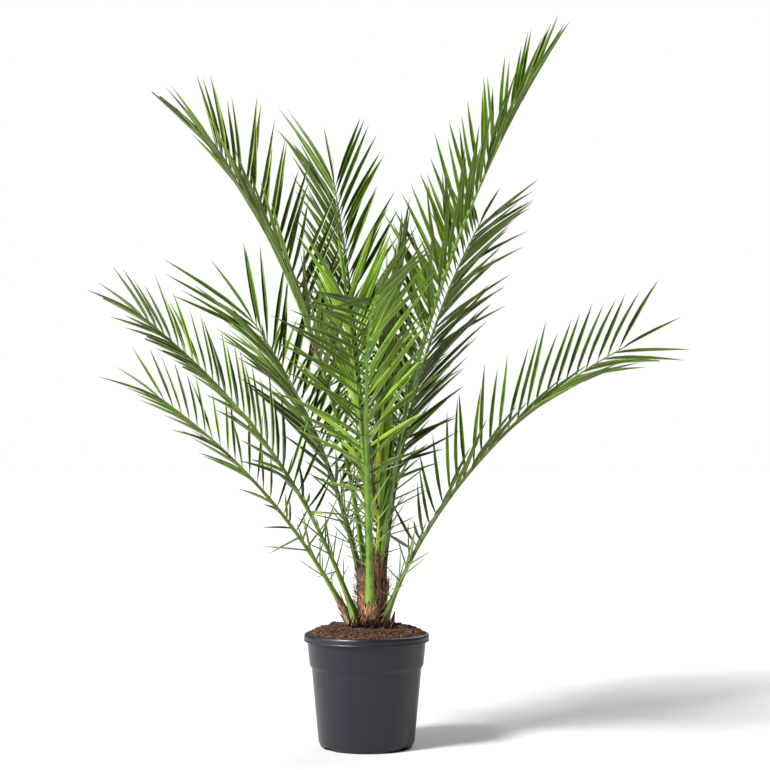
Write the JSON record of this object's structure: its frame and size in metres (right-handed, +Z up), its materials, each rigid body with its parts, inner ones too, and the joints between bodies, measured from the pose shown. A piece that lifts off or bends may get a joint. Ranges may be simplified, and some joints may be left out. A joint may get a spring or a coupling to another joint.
{
  "type": "potted date palm",
  "caption": "Young date palm in a round nursery pot: arching fronds with folded leaflets on bare spiny stalks, from a short fibrous trunk in heaped compost.",
  "frame": {"origin": "centre of the pot's flat underside", "axes": "+Z up from the underside to the top of the crown; -Y towards the picture's camera"},
  "size_m": [1.0908, 1.1676, 1.3897],
  "materials": {
    "leaf": "satin green leaflets, greyer below and lighter along the fold",
    "stalk": "smooth light green stalks and ribs with paler spines",
    "trunk": "matt reddish-brown fibre over old leaf bases",
    "soil": "dark brown crumbly potting compost",
    "pot": "anthracite moulded plastic with a soft sheen"
  },
  "bodies": {
    "root": {"frond_back_left": "leaf", "frond_back_low": "leaf", "frond_back_upright": "leaf", "frond_front": "leaf", "frond_inner_left": "leaf", "frond_left_high": "leaf", "frond_left_low": "leaf", "frond_left_mid": "leaf", "frond_left_wide": "leaf", "frond_right_back": "leaf", "frond_right_high": "leaf", "frond_right_wide": "leaf", "frond_spear": "leaf", "pot": "pot", "soil": "soil", "stalk_back_left": "stalk", "stalk_back_low": "stalk", "stalk_back_upright": "stalk", "stalk_front": "stalk", "stalk_inner_left": "stalk", "stalk_left_high": "stalk", "stalk_left_low": "stalk", "stalk_left_mid": "stalk", "stalk_left_wide": "stalk", "stalk_right_back": "stalk", "stalk_right_high": "stalk", "stalk_right_wide": "stalk", "stalk_spear": "stalk", "trunk": "trunk"}
  },
  "joints": []
}
